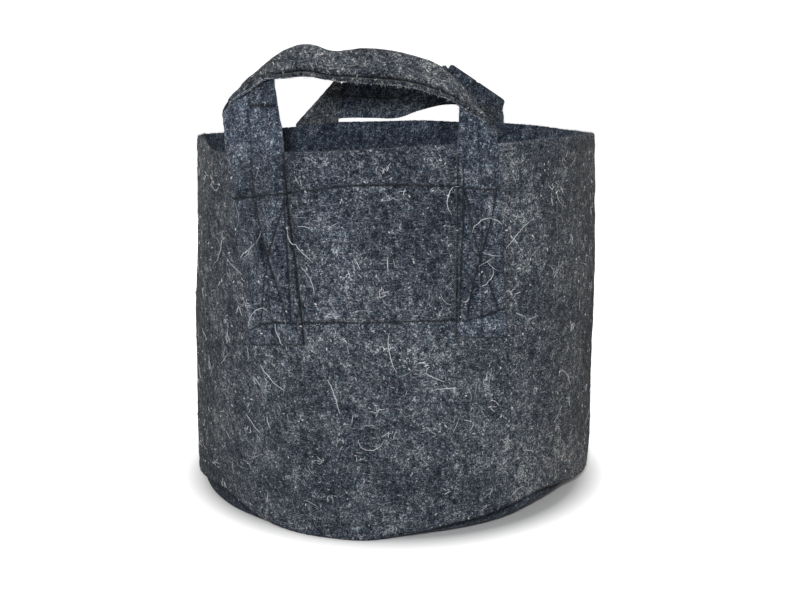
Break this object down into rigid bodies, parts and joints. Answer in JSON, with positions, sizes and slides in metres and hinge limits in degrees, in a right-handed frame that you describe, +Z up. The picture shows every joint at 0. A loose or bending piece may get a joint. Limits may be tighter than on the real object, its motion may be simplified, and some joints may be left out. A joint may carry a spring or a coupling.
{
  "type": "fabric grow bag",
  "caption": "Round open-topped felt planter bag with a flat sewn base and strap handles sewn to opposite sides of its wall.",
  "frame": {"origin": "centre of the underside, on the surface the bag stands on", "axes": "+Z up out of the mouth, -Y towards the front handle, +X to the right seen from the front"},
  "size_m": [0.4, 0.403, 0.435],
  "materials": {
    "body_felt": "mottled navy-charcoal needle-punched recycled felt with pale lint fibres",
    "strap_felt": "the same felt folded to two layers, greyer along the grip",
    "sewing_thread": "near-black twisted sewing thread"
  },
  "bodies": {
    "bag": {"wall_panel": "body_felt", "base_disc": "body_felt", "front_left_handle_leg": "strap_felt", "front_right_handle_leg": "strap_felt", "back_left_handle_leg": "strap_felt", "back_right_handle_leg": "strap_felt", "front_handle_upper_stitch_line": "sewing_thread", "front_handle_lower_stitch_line": "sewing_thread", "front_left_leg_stitching": "sewing_thread", "front_right_leg_stitching": "sewing_thread", "back_handle_upper_stitch_line": "sewing_thread", "back_handle_lower_stitch_line": "sewing_thread", "back_left_leg_stitching": "sewing_thread", "back_right_leg_stitching": "sewing_thread", "base_seam_thread": "sewing_thread", "side_seam_thread": "sewing_thread"},
    "front_handle": {"front_handle_grip": "strap_felt"},
    "back_handle": {"back_handle_grip": "strap_felt"}
  },
  "joints": [
    {"name": "front_handle_flex", "type": "hinge", "parent": "bag", "child": "front_handle", "pos_m": [0, -0.181, 0.356], "axis": [1, 0, 0], "range_deg": [-90, 95]},
    {"name": "back_handle_flex", "type": "hinge", "parent": "bag", "child": "back_handle", "pos_m": [0, 0.183, 0.356], "axis": [-1, 0, 0], "range_deg": [-90, 95]}
  ]
}
